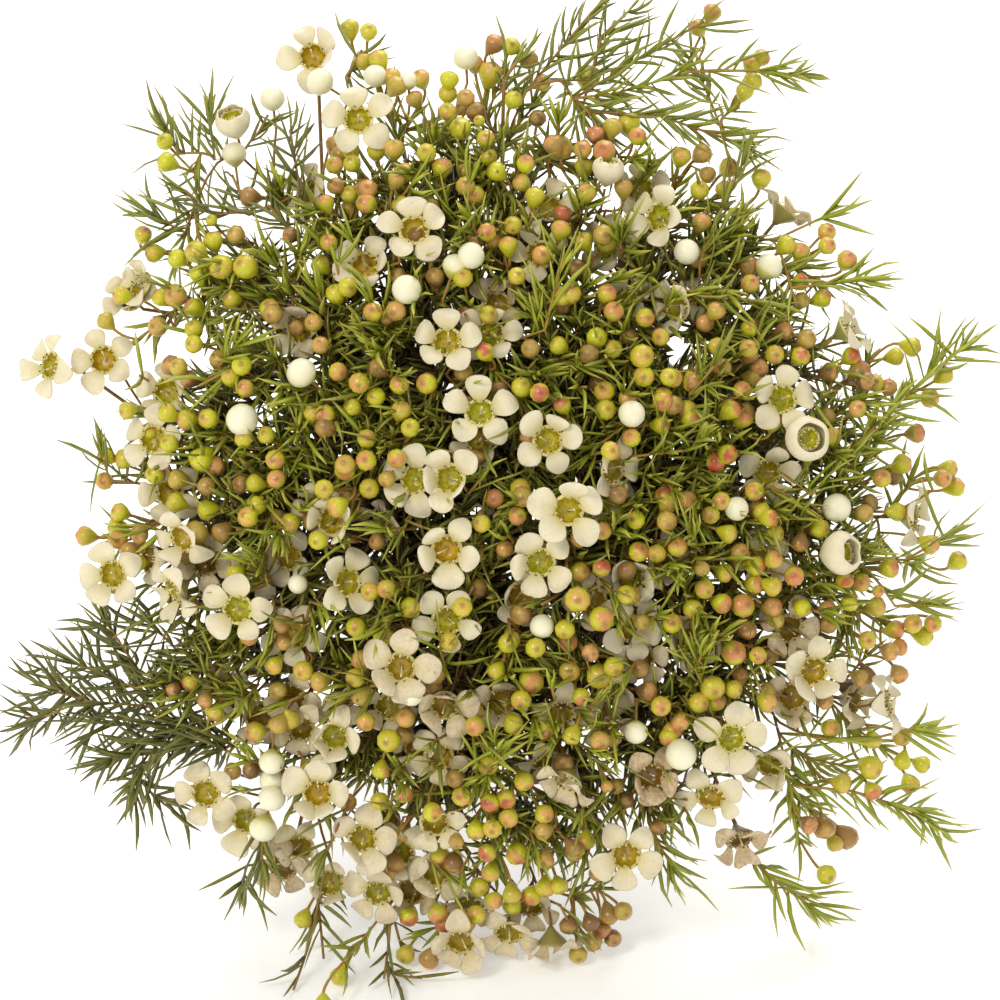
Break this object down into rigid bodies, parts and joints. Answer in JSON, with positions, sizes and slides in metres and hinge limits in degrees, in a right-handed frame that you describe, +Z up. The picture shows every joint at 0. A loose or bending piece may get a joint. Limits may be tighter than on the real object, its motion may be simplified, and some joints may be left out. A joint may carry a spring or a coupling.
{
  "type": "waxflower stem",
  "caption": "Cut, much-branched stem of waxflower lying on its side, its dense rounded head of small five-petalled white flowers, coloured buds and needle leaves facing out.",
  "frame": {"origin": "centre of the footprint, on the surface that the stem lies on", "axes": "+Z up; the head faces -Y and upwards, the cut end of the stem points to +Y; +X is to the right for someone who looks at the head"},
  "size_m": [0.2392, 0.2702, 0.2052],
  "materials": {
    "bark": "matt brown bark",
    "foliage": "satin grey-green needles, twigs and buds",
    "petal": "waxy cream-white petals"
  },
  "bodies": {
    "root": {"main_stem": "bark", "spray_right": "foliage", "spray_upper_right": "foliage", "spray_top": "foliage", "spray_upper_left": "foliage", "spray_left": "foliage", "spray_lower_left": "foliage", "spray_bottom": "foliage", "spray_lower_right": "foliage", "bloom_01": "petal", "bloom_02": "petal", "bloom_03": "petal", "bloom_04": "petal", "bloom_05": "petal", "bloom_06": "petal", "bloom_07": "petal", "bloom_08": "petal", "bloom_09": "petal", "bloom_10": "petal", "bloom_11": "petal", "bloom_12": "petal", "bloom_13": "petal", "bloom_14": "petal", "bloom_15": "petal", "bloom_16": "petal", "bloom_17": "petal", "bloom_18": "petal", "bloom_19": "petal", "bloom_20": "petal", "bloom_21": "petal", "bloom_22": "petal", "bloom_23": "petal", "bloom_24": "petal", "bloom_25": "petal", "bloom_26": "petal", "bloom_27": "petal", "bloom_28": "petal", "bloom_29": "petal", "bloom_30": "petal", "bloom_31": "petal", "bloom_32": "petal", "bloom_33": "petal", "bloom_34": "petal", "bloom_35": "petal", "bloom_36": "petal", "bloom_37": "petal", "bloom_38": "petal", "bloom_39": "petal", "bloom_40": "petal", "bloom_41": "petal", "bloom_42": "petal", "bloom_43": "petal", "bloom_44": "petal", "bloom_45": "petal", "bloom_46": "petal", "bloom_47": "petal", "bloom_48": "petal", "bloom_49": "petal", "bloom_50": "petal", "bloom_51": "petal"}
  },
  "joints": []
}
